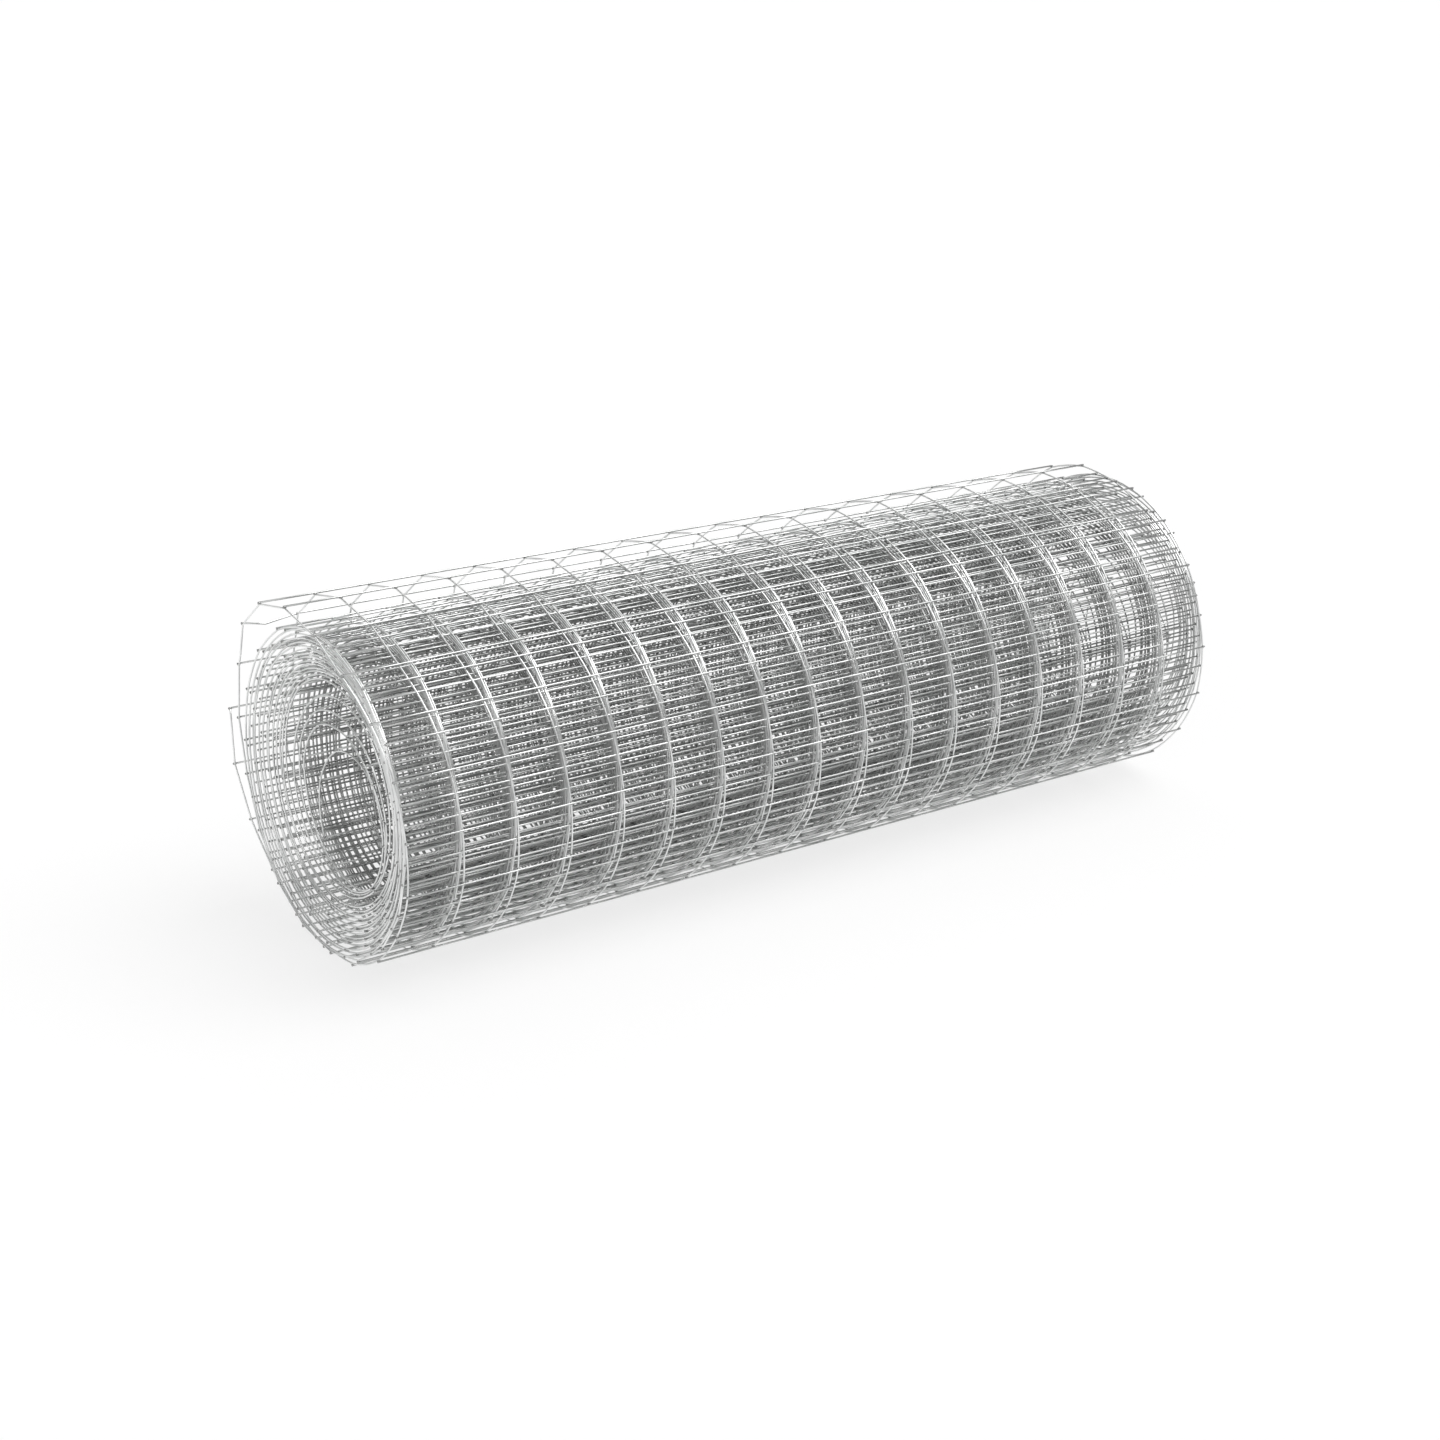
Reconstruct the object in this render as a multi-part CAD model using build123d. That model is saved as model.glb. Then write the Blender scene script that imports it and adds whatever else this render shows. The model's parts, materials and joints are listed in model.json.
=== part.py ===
from build123d import *
from math import acos, asin, cos, degrees, pi, radians, sin
import os

# A roll of welded wire mesh lying on its side, along X, with the floor at Z = 0.
# The sheet is one piece, so the roll is one solid: tight turns that each slid a little past the turn
# around them, a loose end that winds on inside the core, and an outer turn that has sprung open.
# +Y is the back of the roll, where the outer end of the sheet hangs free.

# The sheet, in millimetres: square cells, with cross wires welded onto line wires
mesh_pitch = 50.0
wire_diameter = 1.4
line_wire_count = 18

# Tight turns: outside radius, spacing, and how far each has slid along the roll past the last
pack_radius = 139.0
turn_spacing = 2.9
turn_slide = 1.0
tight_turns = 16

# Loose end in the core: its reach from the roll's axis as it leaves the last tight turn at the back,
# at the bottom, front, top, back and bottom again, then the radius and sweep of its innermost turn
loose_reaches = (88.0, 73.0, 57.0, 61.0, 78.5)
innermost_radius = 60.0
innermost_sweep_deg = 300.0

# The gap beside the loose end is closed where it narrows to this
least_gap = 0.8

# Outer turn: where its free end points, and how far it stands off the tight turns.
# Travel is the angle along the sheet from the free end inwards.
free_end_deg = 18.0
tail_lift = 32.0
tail_travel_deg = 63.0
hump_lift = 20.0
hump_travel_deg = (278.0, 393.0)

# A turn sinks this share of the sheet's thickness into the turn that it rests on
seat_share = 0.5

# Sizes that follow: the sheet is as thick as a line wire and a cross wire
sheet = wire_diameter + wire_diameter
seat = seat_share * sheet
sheet_width = (line_wire_count - 1) * mesh_pitch + wire_diameter
flat_radius = pack_radius + sheet - seat
core_wall_radius = pack_radius - turn_spacing * tight_turns
bottom_travel_deg = free_end_deg + 90.0


def direction(angle_deg):
    """A direction in the end view, where 0 is to the back of the roll and 90 is up."""
    return Vector(cos(radians(angle_deg)), sin(radians(angle_deg)))


def polar(radius, angle_deg):
    """A point of the end view, from the axis of the tight turns."""
    return radius * direction(angle_deg)


def tight_turns_solid():
    """The tight turns, which touch: turned about the roll's axis, with a step at each end for each turn."""
    near_end, far_end = [], []
    for number in range(tight_turns):
        slide = turn_slide * number
        outside = pack_radius - turn_spacing * number
        inside = outside - turn_spacing
        near_end += [(slide, outside), (slide, inside)]
        far_end += [(slide + sheet_width, outside), (slide + sheet_width, inside)]
    profile = make_face(Polyline(*near_end, *reversed(far_end), close=True))
    return revolve(profile, axis=Axis.X)


def across_sheet(section, number):
    """The end view of a turn as a solid as long as the sheet is wide, slid along with its number."""
    return extrude(Plane.YZ.offset(turn_slide * number) * section, amount=sheet_width)


def loose_arcs():
    """Centre, outside radius, start and sweep of each arc of the loose end, smooth where two arcs meet."""
    reaches = (core_wall_radius + sheet, *loose_reaches)
    start_deg, sweep_deg = 0.0, 90.0
    centre = Vector(0, 0)
    arcs = []
    for reach, next_reach in zip(reaches, (*loose_reaches, None)):
        if next_reach:
            radius = next_reach - centre.dot(direction(start_deg - sweep_deg))
        else:
            radius, sweep_deg = innermost_radius, innermost_sweep_deg
        here = direction(start_deg)
        centre = centre + (reach - radius - centre.dot(here)) * here
        arcs.append((centre, radius, start_deg, sweep_deg))
        start_deg -= sweep_deg
    return arcs


def loose_end_section():
    """End view of the loose end, with the wedge filled where it leaves the last tight turn."""
    outside, inside = [], []
    for centre, radius, start_deg, sweep_deg in loose_arcs():
        outside.append(CenterArc(centre, radius, start_deg, -sweep_deg))
        inside.append(CenterArc(centre, radius - sheet, start_deg, -sweep_deg))
    ends = [Line(outside[0] @ 0, inside[0] @ 0), Line(outside[-1] @ 1, inside[-1] @ 1)]
    band = make_face([*outside, *inside, *ends])
    centre, radius, start_deg, _ = loose_arcs()[0]
    tip_deg = degrees(acos((core_wall_radius - radius - least_gap) / centre.length))
    under = CenterArc((0, 0), core_wall_radius + seat, start_deg, -tip_deg)
    over = CenterArc(centre, radius - seat, start_deg, -tip_deg)
    wedge = make_face([under, over, *(Line(under @ end, over @ end) for end in (0, 1))])
    return band + wedge


def lift(travel):
    """How far the outer turn stands off the tight turns: most at its tail and over the top."""
    hump_start, hump_end = hump_travel_deg
    if travel < tail_travel_deg:
        return tail_lift * (1 - travel / tail_travel_deg)
    if hump_start < travel < hump_end:
        return hump_lift * sin(pi * (travel - hump_start) / (hump_end - hump_start))
    return 0


def half_step(travel):
    """Half the travel from one cross wire to the next, which are one pitch apart."""
    return degrees(asin(mesh_pitch / 2 / (flat_radius + lift(travel))))


def cross_wire_travels():
    """Travel at each cross wire of the outer turn, set out from the flat that it lies on."""
    hump_end = hump_travel_deg[-1]
    half_flat = half_step(bottom_travel_deg)
    travels = [bottom_travel_deg - half_flat, bottom_travel_deg + half_flat]
    while travels[0] - 2 * half_step(travels[0]) > 0:
        travels.insert(0, travels[0] - 2 * half_step(travels[0]))
    while travels[-1] < hump_end:
        travels.append(travels[-1] + 2 * half_step(travels[-1]))
    return travels


def outer_turn_section():
    """End view of the outer turn: straight from cross wire to cross wire, bent at each."""
    flat_to_bend_share = 1 / cos(radians(half_step(bottom_travel_deg)))
    outside, inside = [], []
    for travel in cross_wire_travels():
        bend_radius = flat_radius * flat_to_bend_share + lift(travel)
        wall = sheet if lift(travel) else bend_radius - pack_radius + sheet
        outside.append(polar(bend_radius, free_end_deg - travel))
        inside.append(polar(bend_radius - wall, free_end_deg - travel))
    return make_face(Polyline(*outside, *reversed(inside), close=True))


def mesh_roll():
    """The whole roll, moved so that the origin is on the floor under the middle of its box."""
    roll = tight_turns_solid() + across_sheet(outer_turn_section(), 0)
    roll += across_sheet(loose_end_section(), tight_turns)
    box = roll.bounding_box()
    return Pos(-box.center().X, -box.center().Y, -box.min.Z) * roll


os.makedirs("parts", exist_ok=True)
export_step(mesh_roll(), "parts/mesh_roll.step")
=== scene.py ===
# %% [markdown]
# # A roll of wire fencing
#
# This script dresses one part: a roll of galvanised welded mesh, lying on its side.
# The CAD model holds the roll as one solid, with its bore, its stepped ends and its loose turns.
# The wires themselves are too fine for that solid, so this script draws every one of them.
# The first step loads the CAD model as a frame and keeps its box, which the wires must not outgrow.

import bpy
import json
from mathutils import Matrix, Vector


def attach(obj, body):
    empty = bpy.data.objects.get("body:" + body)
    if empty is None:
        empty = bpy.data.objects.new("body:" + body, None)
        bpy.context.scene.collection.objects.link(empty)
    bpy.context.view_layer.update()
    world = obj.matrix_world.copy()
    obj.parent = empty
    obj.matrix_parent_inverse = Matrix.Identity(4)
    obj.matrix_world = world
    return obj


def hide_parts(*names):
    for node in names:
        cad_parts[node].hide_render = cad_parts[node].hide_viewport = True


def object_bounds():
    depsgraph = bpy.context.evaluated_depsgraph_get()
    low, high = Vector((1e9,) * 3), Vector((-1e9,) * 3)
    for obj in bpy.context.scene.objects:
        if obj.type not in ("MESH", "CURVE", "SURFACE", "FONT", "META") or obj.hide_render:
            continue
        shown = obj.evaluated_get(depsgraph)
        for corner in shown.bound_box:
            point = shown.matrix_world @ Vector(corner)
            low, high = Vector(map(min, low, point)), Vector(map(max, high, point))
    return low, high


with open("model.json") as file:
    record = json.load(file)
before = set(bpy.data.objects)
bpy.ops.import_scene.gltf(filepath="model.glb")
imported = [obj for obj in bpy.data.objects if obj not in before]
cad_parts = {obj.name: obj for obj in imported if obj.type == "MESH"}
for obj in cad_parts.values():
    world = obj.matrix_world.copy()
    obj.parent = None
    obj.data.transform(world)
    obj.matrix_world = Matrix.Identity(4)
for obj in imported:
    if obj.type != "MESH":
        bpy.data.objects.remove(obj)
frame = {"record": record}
cad_low, cad_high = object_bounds()
print("CAD box, mm:", [round(1000 * (high - low), 1) for low, high in zip(cad_low, cad_high)])

# %% [markdown]
# ## The sheet
#
# Welded mesh is made flat: line wires run its whole length, and cross wires are welded onto them.
# Here the cells are square, about 50 mm from wire to wire, and the wire is 1.4 mm thick.
# The turns of the roll have slid along it, so the roll is a little longer than the sheet is wide.
# The record gives the width of the sheet, as the length of the bore through its innermost turn.

# %% Sizes of the sheet
import math
import numpy as np

WIRE = 0.0014
LINE_WIRES = 18

mounts = {mount["name"]: mount for mount in frame["record"]["mounts"]}
sheet_width = mounts["core_bore"]["dims"]["length_mm"] / 1000
pitch = (sheet_width - WIRE) / (LINE_WIRES - 1)
line_wire_x = cad_low[0] + WIRE / 2 + pitch * np.arange(LINE_WIRES)
share_across = np.linspace(0, 1, LINE_WIRES)
print(f"{LINE_WIRES} line wires {1000 * pitch:.1f} mm apart, across {1000 * sheet_width:.0f} mm")

# %% [markdown]
# ## How the sheet is wound
#
# Seen from its end, the sheet is one long spiral. Sixteen turns are tight: each lies on the next,
# so it shrinks by the thickness of the sheet, a line wire and a cross wire, at each turn.
# The rest, about four turns, winds on loosely inside the core, sunk towards the bottom.
# There it is a chain of arcs, each with a centre of its own, that meet smoothly.
# An arc starts at the back, the bottom, the front or the top,
# at a known reach from the roll's axis.
# These reaches are given one by one, and the innermost turn cuts through the turns around it in
# places.
# The record's mounts say where the roll lies on the floor and how wide the innermost turn is.

# %% The turns, from the outside in
PACK_RADIUS = 0.139
TURN_SPACING = 0.0029
TIGHT_TURNS = 16
FREE_END_DEG = 9.5
LOOSE_REACHES = (0.0915, 0.088, 0.082, 0.081, 0.0875, 0.081, 0.071, 0.070, 0.083,
                 0.073, 0.057, 0.061, 0.0785)
INNERMOST_QUARTERS = 3.4
JUST_AFTER = 1e-6  # in turns, so that one arc ends before the next one starts

pack_centre = np.array([mounts["lying_side"]["pos_m"][1], PACK_RADIUS + WIRE])
bore_radius = mounts["core_bore"]["dims"]["r_mm"] / 1000


def direction(angle_deg):
    """A step of 1 in the end view, where 0 degrees is to the back of the roll and 90 is up."""
    return np.array([math.cos(math.radians(angle_deg)), math.sin(math.radians(angle_deg))])


first_loose = TIGHT_TURNS + FREE_END_DEG / 360
turn_rows = [(0, (0, 0), PACK_RADIUS), (1, (0, 0), PACK_RADIUS)]
turn_rows.append((first_loose, (0, 0), PACK_RADIUS - TURN_SPACING * (first_loose - 1)))
reaches = (turn_rows[-1][2],) + LOOSE_REACHES
centre = np.zeros(2)
for quarter, reach in enumerate(reaches):
    here, onwards = direction(-90 * quarter), direction(-90 * (quarter + 1))
    innermost = quarter + 1 == len(reaches)
    radius = bore_radius + 2 * WIRE if innermost else reaches[quarter + 1] - centre @ onwards
    centre = centre + (reach - radius - centre @ here) * here
    end = quarter + (INNERMOST_QUARTERS if innermost else 1)
    turn_rows.append((first_loose + quarter / 4 + JUST_AFTER, centre, radius))
    turn_rows.append((first_loose + end / 4, centre, radius))

row_turns = [row[0] for row in turn_rows]
row_y = [row[1][0] for row in turn_rows]
row_z = [row[1][1] for row in turn_rows]
row_radii = [row[2] for row in turn_rows]
print(f"{row_turns[-1]:.1f} turns, from {1000 * row_radii[0]:.0f} mm in radius "
      f"to {1000 * row_radii[-1]:.0f} mm")

# %% [markdown]
# ## The sprung outer turns
#
# Cut mesh springs open. On this roll the free end hangs away from the back, like a tail,
# and the outer turn stands up in a hump over the top, higher at the near end than at the far end.
# The next turns are a little loose over the top as well.
# All of these are lifts: distances added to the radius.
# Travel is the angle along the sheet from its free end.

# %% Lift of the outer turns
STAND_OFF_TRAVEL_DEG = (0, 17, 35, 53, 80, 120, 150, 266, 384)
STAND_OFFS = (0.029, 0.0265, 0.014, 0.005, 0.0036, 0.0036, 0.0015, 0.001, 0)
HUMP_TRAVEL_DEG = (258, 290, 307, 324, 341, 358, 384)
HUMP_LIFTS = (0, 0.0195, 0.0255, 0.0275, 0.0235, 0.0138, 0)
HUMP_FAR_SHARE = 0.6
TOP_LIFT, TOP_DEG = 0.0055, 80
TOP_FIRST_TURNS = (1.2, 1.7)  # the looseness sets in between these
TOP_FADE_TURNS = 8


def lift(turn, share):
    """How far the sheet stands off the roll, at a share of the way from the near to the far end."""
    travel = 360 * turn
    angle_deg = FREE_END_DEG - travel
    stand_off = np.interp(travel, STAND_OFF_TRAVEL_DEG, STAND_OFFS)
    hump = np.interp(travel, HUMP_TRAVEL_DEG, HUMP_LIFTS) * (1 + (HUMP_FAR_SHARE - 1) * share)
    over_top = np.clip(np.cos(np.radians(angle_deg - TOP_DEG)), 0, 1)
    setting_in = np.interp(turn, TOP_FIRST_TURNS, (0, 1))
    fading = np.exp(-np.clip(turn - TOP_FIRST_TURNS[1], 0, None) / TOP_FADE_TURNS)
    return stand_off + hump + TOP_LIFT * over_top * setting_in * fading


highest_turn = HUMP_TRAVEL_DEG[HUMP_LIFTS.index(max(HUMP_LIFTS))] / 360
print(f"tail stands off {1000 * lift(0, 0):.0f} mm, hump {1000 * lift(highest_turn, 0):.1f} mm")

# %% [markdown]
# ## Hand-rolled unevenness
#
# A perfect spiral looks like a drawing. On a real roll the gaps swell and close,
# the turns slide a little along the roll, and no cross wire is quite parallel to the next.
# Slow waves added together give that. Their pace is in waves per turn of the roll,
# and their tilt makes one end of the roll differ from the other.
# Their start comes from a seeded generator, so every run makes the same roll.

# %% Slow waves
SEED = 11

rng = np.random.default_rng(SEED)


def slow_waves(paces, tilt):
    """A smooth uneven function of turn and share, about -1 to 1."""
    starts = rng.uniform(0, 2 * math.pi, len(paces))
    tilts = rng.uniform(-tilt, tilt, len(paces))

    def wave(turn, share):
        parts = [np.sin(2 * math.pi * pace * turn + slope * share + start)
                 for pace, slope, start in zip(paces, tilts, starts)]
        return sum(parts) / math.sqrt(len(paces))

    return wave


swell = slow_waves(paces=(0.43, 0.93, 1.71), tilt=1.2)
slide = slow_waves(paces=(0.37, 0.81, 1.57), tilt=0.0)
skew = slow_waves(paces=(0.61, 1.13, 3.37), tilt=3.0)
print("swell at the first turns:", [round(float(swell(turn, 0)), 2) for turn in range(4)])

# %% [markdown]
# ## One function for the whole sheet
#
# Everything is placed by one function: give it a turn number and a share across the sheet,
# and it says where the sheet is in the end view. An inset takes it to the middle of a wire.
# The tight turns swell by about a quarter of a millimetre, and the loose ones by a millimetre.
# Nothing may sink into the floor, so the lowest turn is held up and lies flat there.
# The same function, run along the whole sheet in fine steps, measures how long the sheet is.

# %% Place on the sheet
SWELL_TURNS = (0.6, 1.6, TIGHT_TURNS, TIGHT_TURNS + 1)
SWELLS = (0, 0.00025, 0.00025, 0.001)
FINE_STEPS = 24000


def place(turn, share, inset):
    """y and z of the sheet, in metres."""
    angle = math.radians(FREE_END_DEG) - 2 * math.pi * turn
    swelling = np.interp(turn, SWELL_TURNS, SWELLS) * swell(turn, share)
    radius = np.interp(turn, row_turns, row_radii) + lift(turn, share) - inset + swelling
    y = pack_centre[0] + np.interp(turn, row_turns, row_y) + radius * np.cos(angle)
    z = pack_centre[1] + np.interp(turn, row_turns, row_z) + radius * np.sin(angle)
    return y, np.maximum(z, inset)


fine_turns = np.linspace(0, row_turns[-1], FINE_STEPS)
fine_y, fine_z = place(fine_turns, 0.5, WIRE / 2)
fine_length = np.concatenate([[0], np.cumsum(np.hypot(np.diff(fine_y), np.diff(fine_z)))])
print(f"the sheet is {fine_length[-1]:.2f} m long")

# %% [markdown]
# ## Where the cross wires go
#
# Cross wires sit one pitch apart along the sheet, so their places come from its measured length.
# On the outer turn the cells are squeezed a little, so that it bends where the photograph shows it.
# In the tight turns each cross wire has settled between those of the turns around it.
# A small stretch or squeeze of the cells, of a percent or two, gives that: each turn's cross wires
# step on by about the same share of a cell, so they seldom heap up or leave a wide gap.
# Each is also skewed by a millimetre or so, differently from end to end.

# %% Stations of the cross wires
OUTER_SQUEEZE, SQUEEZED_TRAVEL_DEG = 0.36, (53, 307)
SETTLE_SHARE, SETTLE_SPREAD = 0.368, 0.012
FRONT_DEG = 158
SKEW, SKEW_RADIUS = 0.0012, 0.11

squeeze = np.interp(360 * fine_turns, SQUEEZED_TRAVEL_DEG, (0, OUTER_SQUEEZE))
fine_cells = fine_length / pitch + squeeze
front_turns = np.arange(TIGHT_TURNS) + (FREE_END_DEG + 360 - FRONT_DEG) / 360
settled = SETTLE_SHARE + SETTLE_SPREAD * rng.uniform(-1, 1, TIGHT_TURNS - 1)
steps_on = np.diff(np.interp(front_turns, fine_turns, fine_cells)) - settled
settling = np.concatenate([[0], np.cumsum(steps_on - np.round(steps_on))])
fine_cells = fine_cells - np.interp(fine_turns, front_turns, settling)

station_count = int(fine_cells[-1]) + 1
station_turns = np.interp(np.arange(station_count), fine_cells, fine_turns)
skewed = SKEW * skew(station_turns[None], share_across[:, None]) / (2 * math.pi * SKEW_RADIUS)
stations = station_turns[None] + skewed * np.clip(station_turns, 0, 1)
print(f"{station_count} cross wires, so {station_count * LINE_WIRES} welds")

# %% [markdown]
# ## The line of each line wire
#
# Between two welds a wire is almost straight, and it bends at the weld, so a turn is a polygon.
# The tight turns hold each other round. So each stretch is a mix of a chord and an arc.
# It is chord where the outer turn has sprung off, less so towards the far end, where it hugs
# the roll. It is mostly arc inside, and where the outer turn is pressed onto the roll.
# A line wire's middle is one wire and a half below the sheet's outer face.

# %% Line wire paths
STEPS = 4
LINE_INSET = 1.5 * WIRE
INNER_STRAIGHTNESS, FAR_STRAIGHTNESS = 0.15, 0.3
PRESSED_TRAVEL_DEG = (60, 90, 240, 275)
STRAIGHT_TURNS = (1.2, 2.2)  # the outer turn's straightness fades out between these


def straightness(turn, share):
    """Share of chord, from 0 for an arc to 1 for a straight stretch."""
    sprung = np.interp(360 * turn, PRESSED_TRAVEL_DEG,
                       (1, INNER_STRAIGHTNESS, INNER_STRAIGHTNESS, 1))
    outer = np.interp(turn, STRAIGHT_TURNS, (1, 0)) * sprung
    return np.maximum(outer * (1 + (FAR_STRAIGHTNESS - 1) * share), INNER_STRAIGHTNESS)


def mixed(arc, weld):
    """One coordinate along every line wire, from its arcs and its welds."""
    chord = weld[:, :-1, None] + np.diff(weld, axis=1)[:, :, None] * steps
    stretches = arc + (chord - arc) * chord_share
    return np.concatenate([stretches.reshape(LINE_WIRES, -1), weld[:, -1:]], 1)


steps = np.arange(STEPS) / STEPS
cell_turns = stations[:, :-1, None] + np.diff(stations, axis=1)[:, :, None] * steps
cell_shares = np.broadcast_to(share_across[:, None, None], cell_turns.shape)
chord_share = straightness(cell_turns, cell_shares)
arc_y, arc_z = place(cell_turns, cell_shares, LINE_INSET)
weld_y, weld_z = place(stations, share_across[:, None], LINE_INSET)
line_y, line_z = mixed(arc_y, weld_y), mixed(arc_z, weld_z)
line_turns = np.concatenate([cell_turns.reshape(LINE_WIRES, -1), stations[:, -1:]], 1)
print("points on each line wire:", line_y.shape[1])

# %% [markdown]
# ## Wire from a path
#
# A curve object with a round bevel would do for a few wires. Here there are a quarter of a million
# faces, so the tubes are worked out as arrays and each piece becomes one mesh.
# A tube is a ring of points round each point of its path, joined to the next ring by quads.
# Six sides are enough for so thin a wire. A six-sided tube has less metal in it than a round one,
# so its points are set out by a tenth, which gives it the same section as the wire.

# %% Tube helper
import bpy

SIDES = 6
FULL_SECTION = math.sqrt(2 * math.pi / (SIDES * math.sin(2 * math.pi / SIDES)))


def tube(path, side, radius):
    """Points and faces of a wire along a path. side is a direction that the path never takes."""
    along = np.gradient(path, axis=0)
    along /= np.linalg.norm(along, axis=1, keepdims=True)
    first = np.cross(along, side)
    first /= np.linalg.norm(first, axis=1, keepdims=True)
    second = np.cross(along, first)
    around = 2 * math.pi * np.arange(SIDES) / SIDES
    spokes = np.cos(around)[:, None] * first[:, None] + np.sin(around)[:, None] * second[:, None]
    points = path[:, None] + FULL_SECTION * radius * spokes
    rings = SIDES * np.arange(len(path) - 1)[:, None]
    here = np.arange(SIDES)
    there = (here + 1) % SIDES
    quads = np.stack([rings + here, rings + there, rings + SIDES + there, rings + SIDES + here], -1)
    last_ring = SIDES * (len(path) - 1)
    caps = [list(reversed(range(SIDES))), list(range(last_ring, last_ring + SIDES))]
    return points.reshape(-1, 3), quads.reshape(-1, 4).tolist() + caps


print(f"a tube has {SIDES} sides, set out by {100 * (FULL_SECTION - 1):.0f}%")

# %% [markdown]
# ## Piece from a mesh
#
# Every piece of this script rides on the roll's one body and stands for the CAD solid,
# so one helper makes a mesh, smooths it, hangs it on the body and hides the CAD solid.

# %% Piece helper


def piece_from(name, points, faces, material):
    """A smooth mesh that rides on the roll's body and stands for the CAD solid."""
    mesh = bpy.data.meshes.new(name)
    mesh.from_pydata(points.tolist(), [], faces)
    mesh.polygons.foreach_set("use_smooth", np.ones(len(mesh.polygons), bool))
    mesh.materials.append(material)
    piece = bpy.data.objects.new(name, mesh)
    bpy.context.scene.collection.objects.link(piece)
    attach(piece, "root")
    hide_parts("mesh_roll")
    return piece


print("pieces will ride on root and stand for mesh_roll")

# %% [markdown]
# ## Zinc
#
# Galvanised wire is steel with a skin of zinc. New zinc is a bright neutral grey,
# with patches that have bloomed duller and faint grains.
# Handling has rubbed the outer turns and both ends bright, and the turns inside keep a dull film,
# The colour also darkens towards the roll's axis, except near the ends: that is painted shade,
# standing in for the shade deep inside the roll.
# It only puts out a colour, a roughness and a height.
# First come the sockets of the group, with their usual values.

# %% Zinc group sockets
# The radius and share sockets set the painted shade, darker towards the roll's axis.
zinc = bpy.data.node_groups.new("zinc_skin", "ShaderNodeTree")
for name, kind, default in (("Bright", "NodeSocketColor", (0.75, 0.76, 0.755, 1)),
                            ("Bloomed", "NodeSocketColor", (0.5, 0.515, 0.51, 1)),
                            ("Patch Scale", "NodeSocketFloat", 30),
                            ("Grain Scale", "NodeSocketFloat", 1400),
                            ("Painted Shade Radius", "NodeSocketFloat", 0.1),
                            ("Painted Shade Fade Radius", "NodeSocketFloat", 0.125),
                            ("Painted Shade Share", "NodeSocketFloat", 0.5)):
    zinc.interface.new_socket(name, in_out="INPUT", socket_type=kind).default_value = default
for name, kind in (("Color", "NodeSocketColor"), ("Roughness", "NodeSocketFloat"),
                   ("Height", "NodeSocketFloat")):
    zinc.interface.new_socket(name, in_out="OUTPUT", socket_type=kind)
inlet = zinc.nodes.new("NodeGroupInput")
outlet = zinc.nodes.new("NodeGroupOutput")
print("zinc group takes", [socket.name for socket in inlet.outputs if socket.name])

# %% [markdown]
# ## Patches and grains
#
# A noise texture lays out the patches. It mixes the two colours and makes bloomed zinc rougher.
# A Voronoi texture gives the grains, which the materials use as a height for a faint bump.

# %% Zinc patches and grains
spot = zinc.nodes.new("ShaderNodeTexCoord")
patches = zinc.nodes.new("ShaderNodeTexNoise")
patches.inputs["Detail"].default_value = 4
grains = zinc.nodes.new("ShaderNodeTexVoronoi")
dulling = zinc.nodes.new("ShaderNodeMapRange")
dulling.inputs["From Min"].default_value = 0.35
dulling.inputs["From Max"].default_value = 0.65
tone = zinc.nodes.new("ShaderNodeMix")
tone.data_type = "RGBA"
polish = zinc.nodes.new("ShaderNodeMapRange")
polish.inputs["To Min"].default_value = 0.24
polish.inputs["To Max"].default_value = 0.40

for start, end in ((spot.outputs["Object"], patches.inputs["Vector"]),
                   (spot.outputs["Object"], grains.inputs["Vector"]),
                   (inlet.outputs["Patch Scale"], patches.inputs["Scale"]),
                   (inlet.outputs["Grain Scale"], grains.inputs["Scale"]),
                   (patches.outputs["Fac"], dulling.inputs["Value"]),
                   (dulling.outputs["Result"], tone.inputs["Factor"]),
                   (dulling.outputs["Result"], polish.inputs["Value"]),
                   (inlet.outputs["Bright"], tone.inputs["A"]),
                   (inlet.outputs["Bloomed"], tone.inputs["B"]),
                   (polish.outputs["Result"], outlet.inputs["Roughness"]),
                   (grains.outputs["Distance"], outlet.inputs["Height"])):
    zinc.links.new(start, end)
print("zinc group has", len(zinc.nodes), "nodes so far")

# %% [markdown]
# ## Painted shade inside the roll
#
# The painted shade needs two distances: how far a point is from the roll's axis,
# and how far it is from the middle of the roll, along the axis.
# Each is turned into a share of brightness, and the brighter of the two is multiplied in,
# so the colour darkens towards the axis but not near the ends.

# %% Zinc painted shade
ENDS_UNSHADED_FROM, ENDS_UNSHADED_TO = 0.385, 0.41  # metres from the middle of the roll

offset = zinc.nodes.new("ShaderNodeVectorMath")
offset.operation = "SUBTRACT"
offset.inputs[1].default_value = (0, *pack_centre)
across_axis = zinc.nodes.new("ShaderNodeVectorMath")
across_axis.operation = "MULTIPLY"
across_axis.inputs[1].default_value = (0, 1, 1)
reach_out = zinc.nodes.new("ShaderNodeVectorMath")
reach_out.operation = "LENGTH"
shade_by_radius = zinc.nodes.new("ShaderNodeMapRange")
split = zinc.nodes.new("ShaderNodeSeparateXYZ")
from_middle = zinc.nodes.new("ShaderNodeMath")
from_middle.operation = "ABSOLUTE"
shade_by_ends = zinc.nodes.new("ShaderNodeMapRange")
shade_by_ends.inputs["From Min"].default_value = ENDS_UNSHADED_FROM
shade_by_ends.inputs["From Max"].default_value = ENDS_UNSHADED_TO
brighter = zinc.nodes.new("ShaderNodeMath")
brighter.operation = "MAXIMUM"
# Painted shade: the zinc colour is multiplied darker towards the roll's axis, for the turns deep
# inside, where little light reaches.
painted_shade = zinc.nodes.new("ShaderNodeMix")
painted_shade.data_type = "RGBA"
painted_shade.blend_type = "MULTIPLY"
painted_shade.inputs["Factor"].default_value = 1

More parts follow.
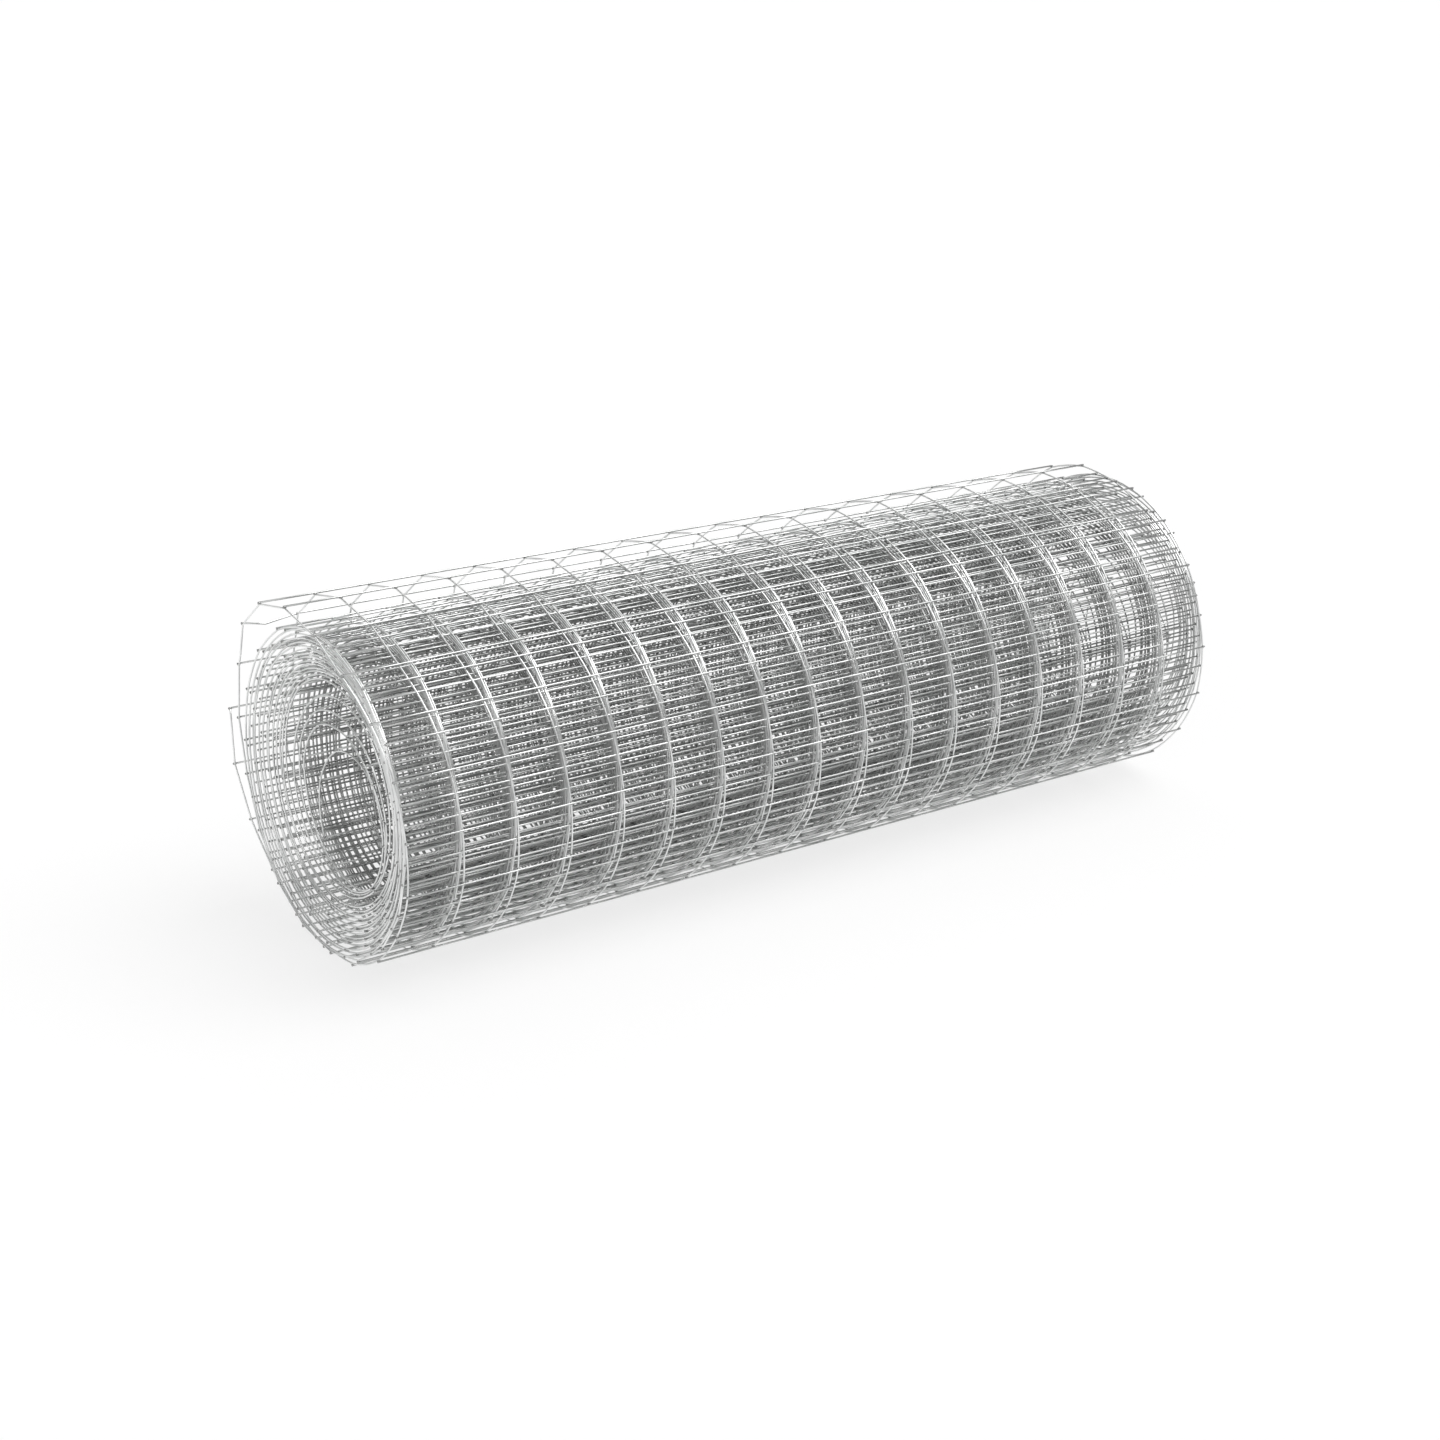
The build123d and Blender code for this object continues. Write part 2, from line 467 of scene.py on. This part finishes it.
for start, end in ((spot.outputs["Object"], offset.inputs[0]),
                   (offset.outputs["Vector"], across_axis.inputs[0]),
                   (across_axis.outputs["Vector"], reach_out.inputs[0]),
                   (reach_out.outputs["Value"], shade_by_radius.inputs["Value"]),
                   (inlet.outputs["Painted Shade Radius"], shade_by_radius.inputs["From Min"]),
                   (inlet.outputs["Painted Shade Fade Radius"], shade_by_radius.inputs["From Max"]),
                   (inlet.outputs["Painted Shade Share"], shade_by_radius.inputs["To Min"]),
                   (spot.outputs["Object"], split.inputs[0]),
                   (split.outputs["X"], from_middle.inputs[0]),
                   (from_middle.outputs[0], shade_by_ends.inputs["Value"]),
                   (inlet.outputs["Painted Shade Share"], shade_by_ends.inputs["To Min"]),
                   (shade_by_radius.outputs["Result"], brighter.inputs[0]),
                   (shade_by_ends.outputs["Result"], brighter.inputs[1]),
                   (tone.outputs["Result"], painted_shade.inputs["A"]),
                   (brighter.outputs[0], painted_shade.inputs["B"]),
                   (painted_shade.outputs["Result"], outlet.inputs["Color"])):
    zinc.links.new(start, end)
print("zinc group has", len(zinc.nodes), "nodes")

# %% [markdown]
# ## Three finishes
#
# Each finish is a metal material around the group, with colours and radii of its own.
# The line wires are painted lighter than the cross wires, a painted highlight that makes the rings
# round the roll show bright, and their painted shade starts further out.
# The welds are the darkest, since the heat burnt their zinc, and their patches are smaller.

# %% Zinc finishes
GRAIN_STRENGTH, GRAIN_HEIGHT = 0.15, 0.0002


def zinc_finish(name, settings):
    """A metal material with the zinc skin. settings gives values for the group's sockets."""
    material = bpy.data.materials.new(name)
    material.use_nodes = True
    nodes, links = material.node_tree.nodes, material.node_tree.links
    metal = nodes["Principled BSDF"]
    metal.inputs["Metallic"].default_value = 1
    skin = nodes.new("ShaderNodeGroup")
    skin.node_tree = zinc
    for socket, value in settings.items():
        skin.inputs[socket].default_value = value
    bump = nodes.new("ShaderNodeBump")
    bump.inputs["Strength"].default_value = GRAIN_STRENGTH
    bump.inputs["Distance"].default_value = GRAIN_HEIGHT
    links.new(skin.outputs["Color"], metal.inputs["Base Color"])
    links.new(skin.outputs["Roughness"], metal.inputs["Roughness"])
    links.new(skin.outputs["Height"], bump.inputs["Height"])
    links.new(bump.outputs["Normal"], metal.inputs["Normal"])
    return material


# Painted highlight: the line wires' zinc is lighter than the cross wires', so the rings show bright.
line_zinc_painted_highlight = zinc_finish("galvanised_wire", {
    "Bright": (0.90, 0.905, 0.90, 1), "Bloomed": (0.74, 0.75, 0.745, 1),
    "Patch Scale": 30, "Painted Shade Radius": 0.116, "Painted Shade Fade Radius": 0.136})
cross_zinc = zinc_finish("cross_wire_zinc", {
    "Bright": (0.66, 0.665, 0.66, 1), "Bloomed": (0.48, 0.49, 0.485, 1),
    "Patch Scale": 30, "Painted Shade Radius": 0.096, "Painted Shade Fade Radius": 0.124})
weld_zinc = zinc_finish("weld_zinc", {
    "Bright": (0.42, 0.42, 0.415, 1), "Bloomed": (0.28, 0.285, 0.28, 1),
    "Patch Scale": 90, "Painted Shade Radius": 0.096, "Painted Shade Fade Radius": 0.124})
print("finishes:", line_zinc_painted_highlight.name, cross_zinc.name, weld_zinc.name)

# %% [markdown]
# ## Line wires
#
# Each line wire runs round the roll from the free end to the core without a break,
# so each is one piece. All of them slide along the roll together, as the sheet does.
# Each turn has slid about a millimetre past the turn around it,
# so the ends of the roll are stepped. The sprung outer turn runs askew:
# it is nearer to the near end over the top, and further from it low on the front.

# %% Line wires
SLIDE_PER_TURN, SLIDE_WAVE = 0.0010, 0.0011
ASKEW_TRAVEL_DEG = (40, 130, 170, 215, 250, 290, 307, 324, 341, 440)
ASKEW = (0, 0.005, 0.004, -0.003, -0.010, -0.012, -0.010, -0.006, 0.001, 0)


def slid(turn):
    """How far the sheet has slid along the roll, in metres."""
    steady = SLIDE_PER_TURN * np.clip(turn - 1, 0, TIGHT_TURNS)
    return steady + SLIDE_WAVE * slide(turn, 0) + np.interp(360 * turn, ASKEW_TRAVEL_DEG, ASKEW)


for number in range(LINE_WIRES):
    wire_x = line_wire_x[number] + slid(line_turns[number])
    path = np.stack([wire_x, line_y[number], line_z[number]], -1)
    points, faces = tube(path, (1, 0, 0), WIRE / 2)
    wire = piece_from(f"line_wire_{number + 1:02d}", points, faces, line_zinc_painted_highlight)
print("faces in one line wire:", len(wire.data.polygons))

# %% [markdown]
# ## Cross wires
#
# The cross wires lie on the outer face of the sheet, one wire thickness further out.
# They are cut about a millimetre beyond the edge line wires. They are many and short,
# so they are joined into one mesh. One of them was knocked at the near end,
# high on the hump, and bows inwards between its first two welds.

# %% Cross wires
CROSS_INSET = 0.5 * WIRE
STUB = 0.0012
BOW_TRAVEL_DEG, BOW_DEPTH, BOW_SHARE = 324, 0.0045, 0.4

cross_y, cross_z = place(stations, share_across[:, None], CROSS_INSET)
weld_x = line_wire_x[:, None] + slid(stations)
cross_x = weld_x.copy()
cross_x[0] -= STUB
cross_x[-1] += STUB
bowed = int(np.argmin(np.abs(station_turns - BOW_TRAVEL_DEG / 360)))

all_points, all_faces, used = [], [], 0
for number in range(station_count):
    path = np.stack([cross_x[:, number], cross_y[:, number], cross_z[:, number]], -1)
    if number == bowed:
        bow = path[0] + BOW_SHARE * (path[1] - path[0])
        inward = np.array([0, *(pack_centre - bow[1:])])
        path = np.insert(path, 1, bow + BOW_DEPTH * inward / np.linalg.norm(inward), axis=0)
    points, faces = tube(path, (0, 0, 1), WIRE / 2)
    all_points.append(points)
    all_faces.extend([[corner + used for corner in face] for face in faces])
    used += len(points)
cross_wires = piece_from("cross_wires", np.concatenate(all_points), all_faces, cross_zinc)
print("faces in the cross wires:", len(cross_wires.data.polygons))

# %% [markdown]
# ## One weld
#
# At each crossing the two wires were pressed together hot, which leaves a small flattened knot.
# A knot is a squashed ball of a few faces: a tip below, two belts of points, and a tip above.

# %% Knot of a weld
KNOT_ALONG, KNOT_ACROSS, KNOT_THICK = 0.0015, 0.0017, 0.0012
KNOT_SIDES = 6
BELT_RADIUS, BELT_HEIGHT = 0.87, 0.5

meridians = 2 * math.pi * np.arange(KNOT_SIDES) / KNOT_SIDES
ball = [(0, 0, -1)]
for height in (-BELT_HEIGHT, BELT_HEIGHT):
    ball += [(BELT_RADIUS * math.cos(angle), BELT_RADIUS * math.sin(angle), height)
             for angle in meridians]
ball += [(0, 0, 1)]
ball = np.array(ball) * (KNOT_ALONG, KNOT_ACROSS, KNOT_THICK)

lower, upper, tip = 1, 1 + KNOT_SIDES, 1 + 2 * KNOT_SIDES
steps_round = [(side, (side + 1) % KNOT_SIDES) for side in range(KNOT_SIDES)]
ball_faces = [(0, lower + after, lower + side) for side, after in steps_round]
ball_faces += [(lower + side, lower + after, upper + after, upper + side)
               for side, after in steps_round]
ball_faces += [(tip, upper + side, upper + after) for side, after in steps_round]
print("a knot has", len(ball), "points and", len(ball_faces), "faces")

# %% [markdown]
# ## All the welds
#
# One knot is set at each crossing, between the middles of the two wires.
# Three axes turn it in line with them: along the line wire, across the sheet, and outwards.

# %% Welds
knot_y, knot_z = place(stations, share_across[:, None], WIRE)
knots = np.stack([weld_x, knot_y, knot_z], -1).reshape(-1, 3)
outward = np.stack([np.zeros_like(weld_x), cross_y - weld_y, cross_z - weld_z], -1).reshape(-1, 3)
outward /= np.linalg.norm(outward, axis=1, keepdims=True)
across = np.broadcast_to((1.0, 0, 0), outward.shape)
along = np.cross(across, outward)
axes = np.stack([along, across, outward], 1)
knot_points = (knots[:, None] + ball @ axes).reshape(-1, 3)
knot_faces = [[corner + len(ball) * knot for corner in face]
              for knot in range(len(knots)) for face in ball_faces]
welds = piece_from("welds", knot_points, knot_faces, weld_zinc)
print("welds:", len(knots), "with", len(welds.data.polygons), "faces")

# %% [markdown]
# ## Floor
#
# The floor reaches far, and there it meets a low wall of the same paint on each side,
# so the background is white from most sides, and the zinc has something pale to reflect.
# Floor and walls are one mesh, and they are stage: they are not part of the roll.

# %% Floor
FLOOR_REACH, WALL_HEIGHT = 300, 86

corners = [(FLOOR_REACH * x, FLOOR_REACH * y) for x, y in ((-1, -1), (1, -1), (1, 1), (-1, 1))]
floor_points = [(x, y, height) for height in (0, WALL_HEIGHT) for x, y in corners]
walls = [(side, 4 + side, 4 + (side + 1) % 4, (side + 1) % 4) for side in range(4)]
floor_mesh = bpy.data.meshes.new("floor")
floor_mesh.from_pydata(floor_points, [], [(0, 1, 2, 3), *walls])
floor = bpy.data.objects.new("floor", floor_mesh)
bpy.context.scene.collection.objects.link(floor)
print("floor faces:", len(floor_mesh.polygons))

# %% [markdown]
# ## Floor paint
#
# The paint is matt, so the roll's shadow falls on it. A glow brings it up to white,
# for the camera and for reflections alike.
# Light that bounces off matt paint does not see the glow, so the shadow is not filled in.

# %% Floor paint
FLOOR_GREY, FLOOR_GLOW = 0.2, 0.77

floor_paint = bpy.data.materials.new("floor_paint")
floor_paint.use_nodes = True
nodes, links = floor_paint.node_tree.nodes, floor_paint.node_tree.links
nodes.remove(nodes["Principled BSDF"])
matt = nodes.new("ShaderNodeBsdfDiffuse")
matt.inputs["Color"].default_value = (FLOOR_GREY, FLOOR_GREY, FLOOR_GREY, 1)
glow = nodes.new("ShaderNodeEmission")
rays = nodes.new("ShaderNodeLightPath")
bounced = nodes.new("ShaderNodeMath")
bounced.operation = "MAXIMUM"
seen = nodes.new("ShaderNodeMath")
seen.operation = "MAXIMUM"
level = nodes.new("ShaderNodeMath")
level.operation = "MULTIPLY"
level.inputs[1].default_value = FLOOR_GLOW
both = nodes.new("ShaderNodeAddShader")
for start, end in ((rays.outputs["Is Glossy Ray"], bounced.inputs[0]),
                   (rays.outputs["Is Transmission Ray"], bounced.inputs[1]),
                   (rays.outputs["Is Camera Ray"], seen.inputs[0]),
                   (bounced.outputs[0], seen.inputs[1]),
                   (seen.outputs[0], level.inputs[0]),
                   (level.outputs[0], glow.inputs["Strength"]),
                   (matt.outputs[0], both.inputs[0]),
                   (glow.outputs[0], both.inputs[1]),
                   (both.outputs[0], nodes["Material Output"].inputs["Surface"])):
    links.new(start, end)
floor_mesh.materials.append(floor_paint)
print("floor material:", floor_paint.name)

# %% [markdown]
# ## Light
#
# The light is soft: a dim sky all round, and three wide suns.
# The strongest is high on the right, a second is high behind, and the weakest is near the camera.
# A sun shines down its own Z axis, so that axis is turned to point from the roll to the sun.

# %% World and suns
from mathutils import Euler, Matrix, Vector

SKY = 0.12
SUNS = (("high_sun", 2.4, 50, (0.45, -0.35, 0.85)),
        ("back_sun", 1.0, 60, (0.25, 0.35, 0.9)),
        ("near_sun", 0.7, 50, (-0.6, -0.45, 0.6)))

world = bpy.data.worlds.new("pale_room")
bpy.context.scene.world = world
world.use_nodes = True
sky = world.node_tree.nodes["Background"]
sky.inputs["Color"].default_value = (1, 1, 1, 1)
sky.inputs["Strength"].default_value = SKY

for name, strength, width_deg, source in SUNS:
    sun_data = bpy.data.lights.new(name, "SUN")
    sun_data.energy = strength
    sun_data.angle = math.radians(width_deg)
    sun = bpy.data.objects.new(name, sun_data)
    sun.location = source
    sun.rotation_euler = Vector(source).to_track_quat("Z", "Y").to_euler()
    bpy.context.scene.collection.objects.link(sun)
    print(name, "of", strength)

# %% [markdown]
# ## Camera
#
# The camera stands in front of the near end, a little above it, as in the photograph.
# The aim point is on the roll, and the lens is a short telephoto.
# The camera is also rolled by 0.3 degrees, since the photograph is not quite level.

# %% Camera
AIM = (-0.0322, -0.0026, 0.1217)
DISTANCE = 2.434
TURN_DEG, DOWN_DEG, ROLL_DEG = 35.54, 19.73, 0.3
LENS_MM, SENSOR_MM = 68.31, 36

camera_data = bpy.data.cameras.new("camera")
camera_data.sensor_fit = "HORIZONTAL"
camera_data.sensor_width = SENSOR_MM
camera_data.lens = LENS_MM
camera = bpy.data.objects.new("camera", camera_data)
turn, down = math.radians(TURN_DEG), math.radians(DOWN_DEG)
looking = (math.sin(turn) * math.cos(down), math.cos(turn) * math.cos(down), -math.sin(down))
camera.location = [aim - DISTANCE * step for aim, step in zip(AIM, looking)]
level_view = Euler((math.pi / 2 - down, 0, -turn)).to_matrix()
rolled = Matrix.Rotation(math.radians(ROLL_DEG), 3, "Z")
camera.rotation_euler = (level_view @ rolled).to_euler()
bpy.context.scene.collection.objects.link(camera)
bpy.context.scene.camera = camera
bpy.context.scene.view_settings.view_transform = "Standard"
print("camera at", [round(value, 3) for value in camera.location])

# %% Last update of the scene
import json

bpy.context.view_layer.update()
